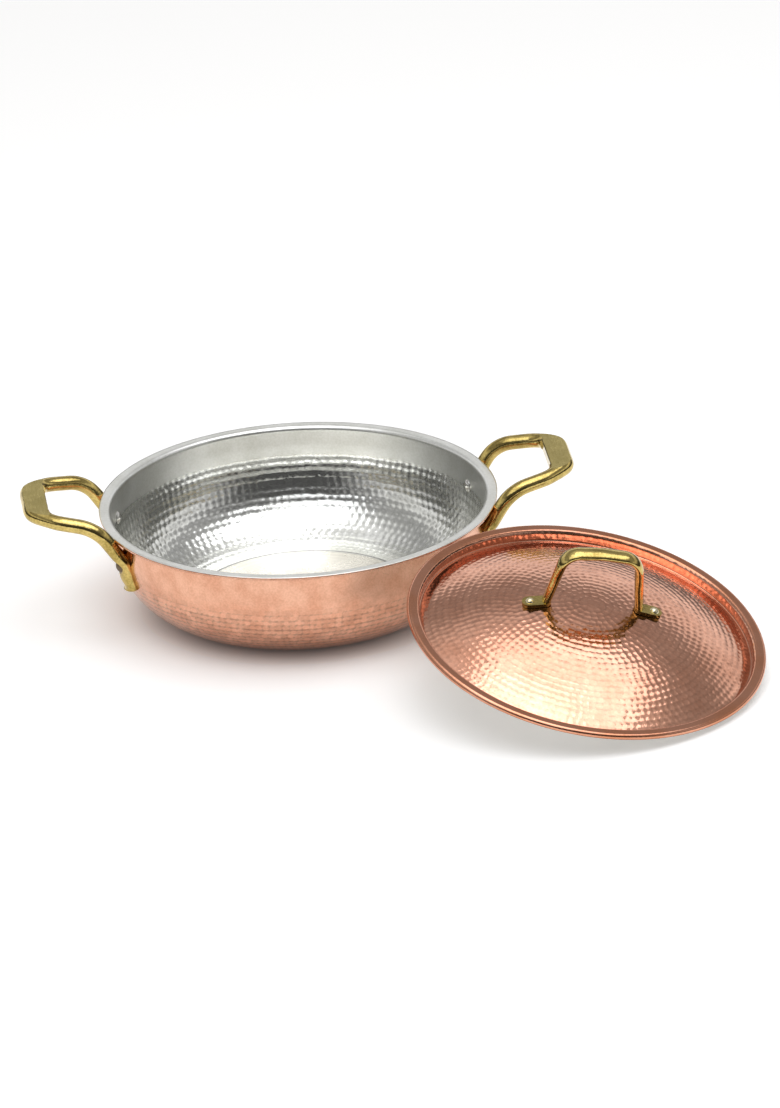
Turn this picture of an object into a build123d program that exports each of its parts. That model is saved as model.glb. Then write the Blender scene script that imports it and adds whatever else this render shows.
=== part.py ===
from build123d import *
from math import asin, atan2, cos, degrees, hypot, radians, sin, sqrt
import os

os.makedirs("parts", exist_ok=True)

# A two-handled copper pan with a tin lining, and its lid.
# The lid is off: it stands on the floor and leans on the pan's rim.
# The origin is the centre of the pan's base, +Z is up and +X runs along the side handles.

# Pan
rim_radius = 140.0  # outside of the rim
rim_width = 8.3  # from the opening to the outside of the rim
pan_height = 76.0  # floor to the top of the rim
base_radius = 82.0  # flat underside
curve_height = 64.0  # where the rounded wall becomes upright
pan_copper = 1.6
pan_tin = 0.4
rim_bend = 1.2  # inside radius of the bend under the rim

# Side handles, measured from the rim
grip_reach = 54.0  # outer face beyond the rim
grip_width = 18.6
grip_depth = 13.2  # before its top is ground flat
grip_top = 18.6  # flat top above the rim
grip_flat = 2.7  # ground off the top
grip_hollow = 1.2  # ground off the inner side
grip_opening = 44.0  # straight inner edge of the grip
grip_corner = 24.0  # bend at the corners of the loop
leg_width = 11.0
leg_depth = 10.2
leg_spread = 63.0  # legs apart where they meet the grip
knee_reach = 12.0  # bend of the leg, out from the rim
knee_rise = 9.0  # bend of the leg, above the rim
knee_spread = 88.0  # legs apart at the bend
knee_bend = 26.0
foot_bend = 14.0
foot_width = 15.5
foot_depth = 10.0
foot_offset = 1.0  # foot's centre line, out from the wall
foot_angle = 18.5  # each foot from the handle's middle, about the pan
foot_drop = 38.0  # foot's lower end below the rim
foot_length = 19.0
foot_seat = 5.0  # wall to the faced seat of the outer rivet head

# Side handle rivets
rivet_radius = 2.6
rivet_head_radius = 4.6
rivet_head_height = 2.4
rivet_drop = 20.0  # below the rim
rivet_gap = 0.05  # around the shank in its hole
head_inset = 0.2  # head off the hollow of the wall, so that only its edge sits
seat_margin = 0.8  # faced seat beyond the head

# Lid
lid_radius = 125.0
flange_width = 7.4  # edge of the lid to the step inside its flange
lid_copper = 1.2
lid_tin = 0.4
lip_height = 3.2
lip_bend = 0.8
step_depth = 8.0  # rim of the lid down to its groove
step_bend = 1.2
groove_width = 1.2
dome_rise = 28.0  # groove to the crown

# Lid handle
strap_height = 38.6  # crown of the dome to the underside of the strap's top
strap_crown = 1.7  # middle of the strap above its corners
strap_top = 50.6  # across the corners, on the centre line
strap_foot = 65.2  # across the feet, on the centre line
strap_bend = 12.5
strap_width = 13.4
strap_depth = 6.2
strap_neck_width = 9.0
tab_rivets = 86.4  # between the two rivets
tab_length = 20.2
tab_width = 10.8
tab_depth = 2.6
lid_rivet_radius = 1.9
lid_rivet_head_radius = 3.2
lid_rivet_head_height = 1.9
lid_head_inset = 0.05

# Rest pose of the lid
lean_direction = -47.5  # from the pan's middle towards the lid's, about Z
strap_direction = -1.5  # strap of the lid handle, about Z
lean_gap = 0.4  # lid's lip to the pan's rim
floor_gap = 0.1  # lid's lip to the floor

# Overrun of the cutting solids
overrun = 30.0

# Sizes that follow
pan_sheet = pan_copper + pan_tin
opening_radius = rim_radius - rim_width
wall_radius = opening_radius + pan_sheet
lid_sheet = lid_copper + lid_tin
groove_floor = lip_height - step_depth
plug_radius = lid_radius - flange_width
grip_centre = rim_radius + grip_reach - grip_width / 2
grip_level = pan_height + grip_top + grip_flat - grip_depth / 2
knee_radius = rim_radius + knee_reach


def wall_at(height):
    """Outside radius of the pan at a height in its rounded part."""
    share = (curve_height - height) / curve_height
    return base_radius + (wall_radius - base_radius) * sqrt(1 - share**2)


def wall_slope(height):
    """Angle of the outside wall from upright, in degrees, at a height in its rounded part."""
    share = (curve_height - height) / curve_height
    rate = (wall_radius - base_radius) / curve_height * share / sqrt(1 - share**2)
    return degrees(atan2(rate, 1))


def pan_skin(depth):
    """Half outline of the pan's sheet at a depth from its outside, from the axis to the rim."""
    under_rim = pan_height - pan_sheet + depth
    upright = wall_radius - depth
    Line((0, depth), (base_radius, depth))
    EllipticalCenterArc(
        center=(base_radius, curve_height),
        x_radius=upright - base_radius,
        y_radius=curve_height - depth,
        start_angle=270,
        arc_size=90,
    )
    FilletPolyline(
        (upright, curve_height),
        (upright, under_rim),
        (rim_radius, under_rim),
        radius=rim_bend + depth,
    )


def pan_layer(outer, inner):
    """Section of the layer of the pan between two depths from its outside."""
    level = pan_height - pan_sheet
    with BuildLine() as outline:
        pan_skin(outer)
        pan_skin(inner)
        Line((0, outer), (0, inner))
        Line((rim_radius, level + outer), (rim_radius, level + inner))
    return outline.edges()


# Frames of the four feet: on the wall's outside, Z square to the wall, Y along it
rivet_level = pan_height - rivet_drop


def foot_plane(turn):
    """Plane on the pan's outside where a rivet goes through, at an angle about Z."""
    radius = wall_at(rivet_level)
    tilt = radians(wall_slope(rivet_level))
    direction = radians(turn)
    return Plane(
        origin=(radius * cos(direction), radius * sin(direction), rivet_level),
        x_dir=(-sin(direction), cos(direction), 0),
        z_dir=(cos(tilt) * cos(direction), cos(tilt) * sin(direction), -sin(tilt)),
    )


def head_points(seat, radius, height):
    """Three points of a domed head's outline: its edge, a point half way and its crown."""
    ball = (radius**2 + height**2) / (2 * abs(height))
    half_way = asin(radius / ball) / 2
    sink = ball * (1 - cos(half_way)) * (1 if height > 0 else -1)
    return (radius, seat), (ball * sin(half_way), seat + height - sink), (0, seat + height)


def rivet_section(shank_start, shank_end, shank_radius, head_radius, head_height):
    """Half section of a rivet with a domed head at each end of its shank."""
    with BuildLine() as outline:
        Line((0, shank_start - head_height), (0, shank_end + head_height))
        ThreePointArc(*head_points(shank_end, head_radius, head_height))
        ThreePointArc(*head_points(shank_start, head_radius, -head_height))
        Polyline(
            (head_radius, shank_end),
            (shank_radius, shank_end),
            (shank_radius, shank_start),
            (head_radius, shank_start),
        )
    return outline.edges()


def section_of(plane):
    """Plane that holds a half section: its X is the plane's X and its Y is the plane's Z."""
    return Plane(origin=plane.origin, x_dir=plane.x_dir, z_dir=-plane.y_dir)


# Pan body: hammered copper
foot_turns = {"right_front": -foot_angle, "right_rear": foot_angle}
foot_turns["left_front"] = 180 + foot_angle
foot_turns["left_rear"] = 180 - foot_angle

with BuildPart() as pan_body:
    with BuildSketch(Plane.XZ):
        make_face(pan_layer(0, pan_copper))
    revolve(axis=Axis.Z)
    for turn in foot_turns.values():
        with BuildSketch(foot_plane(turn).offset(-overrun / 2)):
            Circle(rivet_radius + rivet_gap)
        extrude(amount=overrun, mode=Mode.SUBTRACT)

pan_body.part.label = "pan_body"
export_step(pan_body.part, "parts/pan_body.step")

# Pan lining: tin over the inside and the top of the rim
with BuildPart() as pan_lining:
    with BuildSketch(Plane.XZ):
        make_face(pan_layer(pan_copper, pan_sheet))
    revolve(axis=Axis.Z)
    for turn in foot_turns.values():
        with BuildSketch(foot_plane(turn).offset(-overrun / 2)):
            Circle(rivet_radius + rivet_gap)
        extrude(amount=overrun, mode=Mode.SUBTRACT)

pan_lining.part.label = "pan_lining"
export_step(pan_lining.part, "parts/pan_lining.step")

# Side handles: a cast brass loop whose round legs swell into a flat-topped grip
foot_start = pan_height - foot_drop
foot_end = foot_start + foot_length


def leg_points(side):
    """Corners of the loop's centre line, from a foot to the grip, on one side of the handle."""
    direction = radians(foot_angle)
    low = wall_at(foot_start) + foot_offset
    high = wall_at(foot_end) + foot_offset
    knee_side = knee_spread / 2
    return [
        (low * cos(direction), side * low * sin(direction), foot_start),
        (high * cos(direction), side * high * sin(direction), foot_end),
        (sqrt(knee_radius**2 - knee_side**2), side * knee_side, pan_height + knee_rise),
        (grip_centre, side * leg_spread / 2, grip_level),
    ]


# Where the foot has thinned to the leg and where the leg swells to the grip, as shares of the loop
foot_shares = (0.08, 0.17)
grip_shares = (0.35, 0.43)
loop_sections = 36


def eased(share, start, end):
    """Smooth step from 0 at one share of a path to 1 at another."""
    step = min(max((share - start) / (end - start), 0), 1)
    return step * step * (3 - 2 * step)


def loop_size(share, foot, leg, grip):
    """Size across the loop at a share of its length, the same from both ends."""
    near = min(share, 1 - share)
    return foot + (leg - foot) * eased(near, *foot_shares) + (grip - leg) * eased(near, *grip_shares)


with BuildLine() as loop:
    FilletPolyline(
        *leg_points(-1),
        *reversed(leg_points(1)),
        radius=[foot_bend, knee_bend, grip_corner, grip_corner, knee_bend, foot_bend],
    )


def loop_plane(share):
    """Plane across the loop at a share of its length, with X level and out of the loop."""
    path = loop.wire()
    place = path.position_at(share * path.length, position_mode=PositionMode.LENGTH)
    along = path.tangent_at(share * path.length, position_mode=PositionMode.LENGTH)
    level = along.cross(Vector(0, 0, 1))
    return Plane(origin=place, x_dir=level, z_dir=along)


with BuildPart() as pan_outside:
    with BuildSketch(Plane.XZ):
        with BuildLine():
            pan_skin(0)
            Polyline((rim_radius, pan_height - pan_sheet), (rim_radius, pan_height), (0, pan_height), (0, 0))
        make_face()
    revolve(axis=Axis.Z)

with BuildPart() as right_handle:
    for section in range(loop_sections + 1):
        share = section / loop_sections
        width = loop_size(share, foot_width, leg_width, grip_width)
        depth = loop_size(share, foot_depth, leg_depth, grip_depth)
        with BuildSketch(loop_plane(share)):
            Ellipse(width / 2, depth / 2)
    loft()
    with Locations((grip_centre, 0, pan_height + grip_top + overrun / 2)):
        Box(2 * overrun + grip_width, 2 * leg_spread, overrun, mode=Mode.SUBTRACT)
    with Locations((grip_centre - grip_width / 2 + grip_hollow - overrun / 2, 0, grip_level)):
        Box(overrun, grip_opening, overrun, mode=Mode.SUBTRACT)
    add(pan_outside.part, mode=Mode.SUBTRACT)
    for turn in (foot_angle, -foot_angle):
        with BuildSketch(foot_plane(turn).offset(foot_seat)):
            Circle(rivet_head_radius + seat_margin)
        extrude(amount=rivet_head_radius + seat_margin, mode=Mode.SUBTRACT)
        with BuildSketch(foot_plane(turn).offset(-overrun / 2)):
            Circle(rivet_radius + rivet_gap)
        extrude(amount=overrun, mode=Mode.SUBTRACT)

right_handle.part.label = "right_handle"
export_step(right_handle.part, "parts/right_handle.step")

with BuildPart() as left_handle:
    add(right_handle.part, rotation=(0, 0, 180))

left_handle.part.label = "left_handle"
export_step(left_handle.part, "parts/left_handle.step")

# Side handle rivets, one through each foot
for place, turn in foot_turns.items():
    frame = foot_plane(turn)
    with BuildPart() as rivet:
        with BuildSketch(section_of(frame)):
            outline = rivet_section(
                -pan_sheet - head_inset,
                foot_seat,
                rivet_radius,
                rivet_head_radius,
                rivet_head_height,
            )
            make_face(outline)
        revolve(axis=Axis(frame.origin, frame.z_dir))
    rivet.part.label = place + "_rivet"
    export_step(rivet.part, "parts/" + place + "_rivet.step")

# Lid frame: Z is the lid's axis, X runs along its strap, and its lip's edge is at Z zero.
# The bend under its groove stands on the floor, and its lip leans on the rim.
stand_bend = step_bend / 2 + lid_sheet
stand_radius = plug_radius - stand_bend
stand_drop = lid_sheet - groove_floor - stand_bend
lean_rise = pan_height - pan_sheet / 2 - lip_height / 2 - stand_bend
lean_reach = hypot(lid_radius + stand_radius, stand_drop)
lean = asin(lean_rise / lean_reach) - atan2(stand_drop, lid_radius + stand_radius)
lid_level = stand_radius * sin(lean) + stand_drop * cos(lean) + stand_bend + floor_gap
lid_distance = rim_radius + lean_gap + lid_radius * cos(lean)
lean_turn = radians(lean_direction)
strap_turn = radians(strap_direction)
lid_axis = Vector(sin(lean) * cos(lean_turn), sin(lean) * sin(lean_turn), cos(lean))
level_strap = Vector(cos(strap_turn), sin(strap_turn), 0)
strap_axis = level_strap - lid_axis * level_strap.dot(lid_axis)
lid_frame = Plane(
    origin=(
        lid_distance * cos(lean_turn),
        lid_distance * sin(lean_turn),
        lid_level,
    ),
    x_dir=strap_axis,
    z_dir=lid_axis,
)
lid_turn = Axis(lid_frame.origin, lid_frame.z_dir)

# The dome is part of a ball through its crown and the inner edge of its groove
dome_edge = plug_radius - lid_sheet - groove_width
dome_radius = (dome_edge**2 + dome_rise**2) / (2 * dome_rise)
dome_centre = groove_floor + dome_rise - dome_radius


def lid_skin(depth):
    """Half outline of the lid's sheet at a depth under its top, from the axis to the lip."""
    ball = dome_radius - depth
    floor = groove_floor - depth
    edge = sqrt(ball**2 - (floor - dome_centre) ** 2)
    half_way = asin(edge / ball) / 2
    step = plug_radius - lid_sheet + depth
    top = lip_height - depth
    ThreePointArc(
        (0, dome_centre + ball),
        (ball * sin(half_way), dome_centre + ball * cos(half_way)),
        (edge, floor),
    )
    FilletPolyline(
        (edge, floor),
        (step, floor),
        (step, top),
        (lid_radius - depth, top),
        (lid_radius - depth, 0),
        radius=[step_bend / 2 + depth, step_bend + lid_sheet - depth, lip_bend + lid_sheet - depth],
    )


def lid_layer(outer, inner):
    """Section of the layer of the lid between two depths under its top."""
    crown = dome_centre + dome_radius
    with BuildLine() as outline:
        lid_skin(outer)
        lid_skin(inner)
        Line((0, crown - outer), (0, crown - inner))
        Line((lid_radius - outer, 0), (lid_radius - inner, 0))
    return outline.edges()


def tab_plane(side):
    """Plane on the dome where a rivet goes through, with X down the dome and Z off it."""
    slope = asin(tab_rivets / 2 / dome_radius)
    place = lid_frame.from_local_coords(
        Vector(side * tab_rivets / 2, 0, dome_centre + dome_radius * cos(slope))
    )
    up = lid_frame.z_dir * cos(slope) + lid_frame.x_dir * side * sin(slope)
    down = lid_frame.x_dir * side * cos(slope) - lid_frame.z_dir * sin(slope)
    return Plane(origin=place, x_dir=down, z_dir=up)


# Lid body: hammered copper
with BuildPart() as lid_body:
    with BuildSketch(section_of(lid_frame)):
        make_face(lid_layer(0, lid_copper))
    revolve(axis=lid_turn)
    for side in (-1, 1):
        with BuildSketch(tab_plane(side).offset(-overrun / 2)):
            Circle(lid_rivet_radius + rivet_gap)
        extrude(amount=overrun, mode=Mode.SUBTRACT)

lid_body.part.label = "lid_body"
export_step(lid_body.part, "parts/lid_body.step")

# Lid lining: tin over the underside
with BuildPart() as lid_lining:
    with BuildSketch(section_of(lid_frame)):
        make_face(lid_layer(lid_copper, lid_sheet))
    revolve(axis=lid_turn)
    for side in (-1, 1):
        with BuildSketch(tab_plane(side).offset(-overrun / 2)):
            Circle(lid_rivet_radius + rivet_gap)
        extrude(amount=overrun, mode=Mode.SUBTRACT)

lid_lining.part.label = "lid_lining"
export_step(lid_lining.part, "parts/lid_lining.step")

# Lid handle: a cast brass strap on two riveted tabs
crown_level = dome_centre + dome_radius
strap_level = crown_level + strap_height + strap_depth / 2
foot_level = dome_centre + sqrt(dome_radius**2 - (strap_foot / 2) ** 2) + tab_depth / 2
strap_plane = section_of(lid_frame)

with BuildLine(strap_plane) as strap_line:
    FilletPolyline(
        (-strap_foot / 2, foot_level),
        (-strap_top / 2, strap_level - strap_crown),
        (0, strap_level),
        (strap_top / 2, strap_level - strap_crown),
        (strap_foot / 2, foot_level),
        radius=[strap_bend, strap_top, strap_bend],
    )

# Where the strap widens from its legs to its top, as shares of its length
strap_shares = (0.14, 0.3)
strap_sections = 30

with BuildPart() as lid_ball:
    with BuildSketch(strap_plane):
        with BuildLine():
            quarter = dome_radius * sin(radians(45))
            ThreePointArc(
                (0, dome_centre + dome_radius),
                (quarter, dome_centre + quarter),
                (dome_radius, dome_centre),
            )
            Polyline((dome_radius, dome_centre), (0, dome_centre), (0, dome_centre + dome_radius))
        make_face()
    revolve(axis=lid_turn)

with BuildPart() as lid_handle:
    path = strap_line.wire()
    for section in range(strap_sections + 1):
        share = section / strap_sections
        widened = eased(min(share, 1 - share), *strap_shares)
        width = strap_neck_width + (strap_width - strap_neck_width) * widened
        place = path.position_at(share * path.length, position_mode=PositionMode.LENGTH)
        along = path.tangent_at(share * path.length, position_mode=PositionMode.LENGTH)
        with BuildSketch(Plane(origin=place, x_dir=lid_frame.y_dir, z_dir=along)):
            Ellipse(width / 2, strap_depth / 2)
    loft()
    for side in (-1, 1):
        with BuildSketch(tab_plane(side)):
            with Locations((tab_width / 2 - tab_length / 2, 0)):
                SlotOverall(tab_length, tab_width)
        extrude(amount=tab_depth)
    add(lid_ball.part, mode=Mode.SUBTRACT)
    for side in (-1, 1):
        with BuildSketch(tab_plane(side).offset(-overrun / 2)):
            Circle(lid_rivet_radius + rivet_gap)
        extrude(amount=overrun, mode=Mode.SUBTRACT)

lid_handle.part.label = "lid_handle"
export_step(lid_handle.part, "parts/lid_handle.step")

# Lid handle rivets, one through each tab
for place, side in (("lid_left", -1), ("lid_right", 1)):
    frame = tab_plane(side)
    with BuildPart() as lid_rivet:
        with BuildSketch(section_of(frame)):
            outline = rivet_section(
                -lid_sheet - lid_head_inset,
                tab_depth,
                lid_rivet_radius,
                lid_rivet_head_radius,
                lid_rivet_head_height,
            )
            make_face(outline)
        revolve(axis=Axis(frame.origin, frame.z_dir))
    lid_rivet.part.label = place + "_rivet"
    export_step(lid_rivet.part, "parts/" + place + "_rivet.step")
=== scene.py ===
"""Copper pan with a tin lining and its lid, off and leaning on the rim, on a pale studio floor."""
import logging
import math
from dataclasses import dataclass
from enum import Enum

import bmesh
import bpy
import numpy as np
from mathutils import Matrix, Vector


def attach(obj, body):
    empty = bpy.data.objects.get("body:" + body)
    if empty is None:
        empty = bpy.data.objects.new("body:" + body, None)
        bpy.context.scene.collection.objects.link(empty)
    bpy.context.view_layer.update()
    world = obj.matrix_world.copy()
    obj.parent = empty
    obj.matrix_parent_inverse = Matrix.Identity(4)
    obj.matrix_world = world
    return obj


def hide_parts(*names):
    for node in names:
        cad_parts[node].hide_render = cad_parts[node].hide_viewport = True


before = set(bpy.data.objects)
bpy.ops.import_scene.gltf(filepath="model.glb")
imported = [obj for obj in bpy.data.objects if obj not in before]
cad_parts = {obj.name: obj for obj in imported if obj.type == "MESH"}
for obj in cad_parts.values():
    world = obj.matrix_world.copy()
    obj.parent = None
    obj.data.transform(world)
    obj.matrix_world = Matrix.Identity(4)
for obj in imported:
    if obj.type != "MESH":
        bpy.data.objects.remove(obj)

log = logging.getLogger("scene")
MM = 0.001
Outline = list[tuple[float, float]]
Colour = tuple[float, float, float]
Span = tuple[float, float]
Socket = bpy.types.NodeSocket


class Body(str, Enum):
    """Rigid bodies of the frame."""

    PAN = "pan"
    LID = "lid"


class Slot(str, Enum):
    """Material slots of the record that the new pieces take."""

    COPPER = "copper"
    LID_COPPER = "lid_copper"
    TIN = "tin"


class Draw(Enum):
    """What a hammer blow's fixed value is drawn for."""

    ALONG = 1.0
    ACROSS = 2.0
    TONE = 3.0
    ROW = 5.0


# Outlines


def fillet(points: Outline, radii: list[float], arc_step: float = 12.0) -> Outline:
    """Rounds the corners of a line of straight runs.

    Args:
        points: Corners of the line, its two ends included.
        radii: Radius at each inner corner.
        arc_step: Degrees between the points of a bend.

    Returns:
        The rounded line.
    """
    line = [points[0]]
    for before, corner, after, radius in zip(points, points[1:], points[2:], radii):
        here = Vector(corner)
        back = (Vector(before) - here).normalized()
        ahead = (Vector(after) - here).normalized()
        half = back.angle(ahead) / 2
        centre = here + (back + ahead).normalized() * radius / math.sin(half)
        first = here + back * radius / math.tan(half) - centre
        last = here + ahead * radius / math.tan(half) - centre
        turn = first.angle_signed(last)
        steps = max(2, round(abs(math.degrees(turn)) / arc_step))
        for step in range(steps + 1):
            swing = Matrix.Rotation(-turn * step / steps, 2)
            line.append(tuple(centre + swing @ first))
    line.append(points[-1])
    return line


def divided(line: Outline, spacing: float) -> Outline:
    """Adds points to a line so that no run is longer than a spacing.

    Args:
        line: The line to divide.
        spacing: Longest run left.

    Returns:
        The divided line.
    """
    out = [line[0]]
    for start, end in zip(line, line[1:]):
        steps = max(1, math.ceil(math.dist(start, end) / spacing))
        for step in range(1, steps + 1):
            share = step / steps
            out.append((start[0] + (end[0] - start[0]) * share, start[1] + (end[1] - start[1]) * share))
    return out


@dataclass(frozen=True)
class PanShape:
    """Sizes of the pan's sheet, the same as the frame's, in metres.

    Attributes:
        rim: Radius of the rim's edge.
        opening: Radius inside the upright part of the wall.
        height: Height of the rim's top.
        base: Radius of the flat base.
        curve: Height of the rounded part of the wall.
        sheet: Thickness of the copper and the tin together.
        copper: Thickness of the copper.
        bend: Inner radius of the bend at the rim.
        disc: Radius of the disc turned in the tin.
        disc_drop: Depth of that disc.
        disc_bevel: Width of its sloping edge.
        quarter_share: Length of the rounded part over its height and its width together.
    """

    rim: float = 140.0 * MM
    opening: float = 131.7 * MM
    height: float = 76.0 * MM
    base: float = 82.0 * MM
    curve: float = 64.0 * MM
    sheet: float = 2.0 * MM
    copper: float = 1.6 * MM
    bend: float = 1.2 * MM
    disc: float = 79.0 * MM
    disc_drop: float = 0.3 * MM
    disc_bevel: float = 0.7 * MM
    quarter_share: float = 0.82

    def base_line(self, depth: float, turned: bool) -> Outline:
        """Corners of the flat base's line at a depth from its outside.

        Args:
            depth: Depth from the outside.
            turned: Whether the base has a disc turned a little lower.

        Returns:
            Points from the axis to the edge of the base.
        """
        if not turned:
            return [(0.0, depth), (self.base, depth)]
        low = depth - self.disc_drop
        inner = self.disc - self.disc_bevel
        margin = self.disc_bevel / 2
        return [
            (0.0, low),
            (inner - margin, low),
            (inner, low),
            (self.disc, depth),
            (self.disc + margin, depth),
            (self.base, depth),
        ]

    def skin(self, depth: float, fine: float, coarse: float, turned: bool = False) -> Outline:
        """Half outline of the sheet at a depth from its outside.

        Args:
            depth: Depth from the outside.
            fine: Spacing on the wall.
            coarse: Spacing on the flat base.
            turned: Whether the base has a disc turned a little lower.

        Returns:
            Points from the axis to the rim's edge.
        """
        upright = self.opening + self.sheet - depth
        wall = []
        steps = math.ceil((upright - self.base + self.curve) / fine * self.quarter_share)
        for step in range(1, steps + 1):
            angle = math.pi / 2 * step / steps
            radius = self.base + (upright - self.base) * math.sin(angle)
            wall.append((radius, self.curve - (self.curve - depth) * math.cos(angle)))
        level = self.height - self.sheet + depth
        rim = fillet([wall[-1], (upright, level), (self.rim, level)], [self.bend + depth])
        return divided(self.base_line(depth, turned), coarse) + wall + divided(rim, fine)[1:]


@dataclass(frozen=True)
class LidShape:
    """Sizes of the lid's sheet, in metres, in a frame whose Z is the lid's axis.

    Attributes:
        radius: Radius of the lip.
        plug: Outer radius of the step inside the flange.
        sheet: Thickness of the copper and the tin together.
        copper: Thickness of the copper.
        lip: Height of the lip.
        lip_bend: Inner radius of the lip's bend.
        step: Height of the step.
        step_bend: Inner radius of the bends at the step.
        groove: Width of the flat run between the step and the dome.
        rise: Height of the dome over the groove.
    """

    radius: float = 125.0 * MM
    plug: float = 117.6 * MM
    sheet: float = 1.6 * MM
    copper: float = 1.2 * MM
    lip: float = 3.2 * MM
    lip_bend: float = 0.8 * MM
    step: float = 8.0 * MM
    step_bend: float = 1.2 * MM
    groove: float = 1.2 * MM
    rise: float = 28.0 * MM

    @property
    def dome_edge(self) -> float:
        """Radius of the dome's edge."""
        return self.plug - self.sheet - self.groove

    @property
    def ball(self) -> float:
        """Radius of the ball that the dome is cut from."""
        return (self.dome_edge**2 + self.rise**2) / (2 * self.rise)

    @property
    def ball_level(self) -> float:
        """Level of the ball's centre."""
        return self.lip - self.step + self.rise - self.ball

    @property
    def dome_run(self) -> float:
        """Length of the dome's line from the axis to its edge."""
        return self.ball * math.asin(self.dome_edge / self.ball)

    def skin(self, depth: float, fine: float, arc_step: float = 12.0) -> Outline:
        """Half outline of the sheet at a depth under its top.

        Args:
            depth: Depth under the top.
            fine: Spacing of the points.
            arc_step: Degrees between the points of a bend.

        Returns:
            Points from the axis to the lip's edge.
        """
        ball = self.ball - depth
        floor = self.lip - self.step - depth
        edge = math.sqrt(ball**2 - (floor - self.ball_level) ** 2)
        swing = math.asin(edge / ball)
        steps = math.ceil(ball * swing / fine)
        dome = []
        for step in range(steps + 1):
            angle = swing * step / steps
            dome.append((ball * math.sin(angle), self.ball_level + ball * math.cos(angle)))
        wall = self.plug - self.sheet + depth
        top = self.lip - depth
        lip = self.radius - depth
        corners = [(edge, floor), (wall, floor), (wall, top), (lip, top), (lip, 0.0)]
        bends = [
            self.step_bend / 2 + depth,
            self.step_bend + self.sheet - depth,
            self.lip_bend + self.sheet - depth,
        ]
        return dome + divided(fillet(corners, bends, arc_step), fine)[1:]


@dataclass(frozen=True)
class LidPlace:
    """Rest pose of the lid: the bend under its groove on the floor, and its lip against the rim.

    Attributes:
        direction: Bearing of the lid from the pan, in degrees.
        strap: Bearing of the lid's handle, in degrees.
        gap: Room between the lip and the rim.
        floor_gap: Room between the lid and the floor.
    """

    direction: float = -47.5
    strap: float = -1.5
    gap: float = 0.4 * MM
    floor_gap: float = 0.1 * MM

    def matrix(self, pan: PanShape, lid: LidShape) -> Matrix:
        """Placement of the lid's own frame in the row frame.

        Args:
            pan: The pan's sizes.
            lid: The lid's sizes.

        Returns:
            The placement.
        """
        bend = lid.step_bend / 2 + lid.sheet
        stand = lid.plug - bend
        drop = lid.sheet + lid.step - lid.lip - bend
        rise = pan.height - pan.sheet / 2 - lid.lip / 2 - bend
        reach = lid.radius + stand
        lean = math.asin(rise / math.hypot(reach, drop)) - math.atan2(drop, reach)
        distance = pan.rim + self.gap + lid.radius * math.cos(lean)
        height = stand * math.sin(lean) + drop * math.cos(lean) + bend + self.floor_gap
        turn = math.radians(self.direction)
        strap = math.radians(self.strap)
        up = Vector((math.sin(lean) * math.cos(turn), math.sin(lean) * math.sin(turn), math.cos(lean)))
        along = Vector((math.cos(strap), math.sin(strap), 0.0))
        along = (along - up * along.dot(up)).normalized()
        across = up.cross(along)
        place = Matrix((along, across, up)).transposed().to_4x4()
        place.translation = (distance * math.cos(turn), distance * math.sin(turn), height)
        return place


# Hammered sheet


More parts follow.
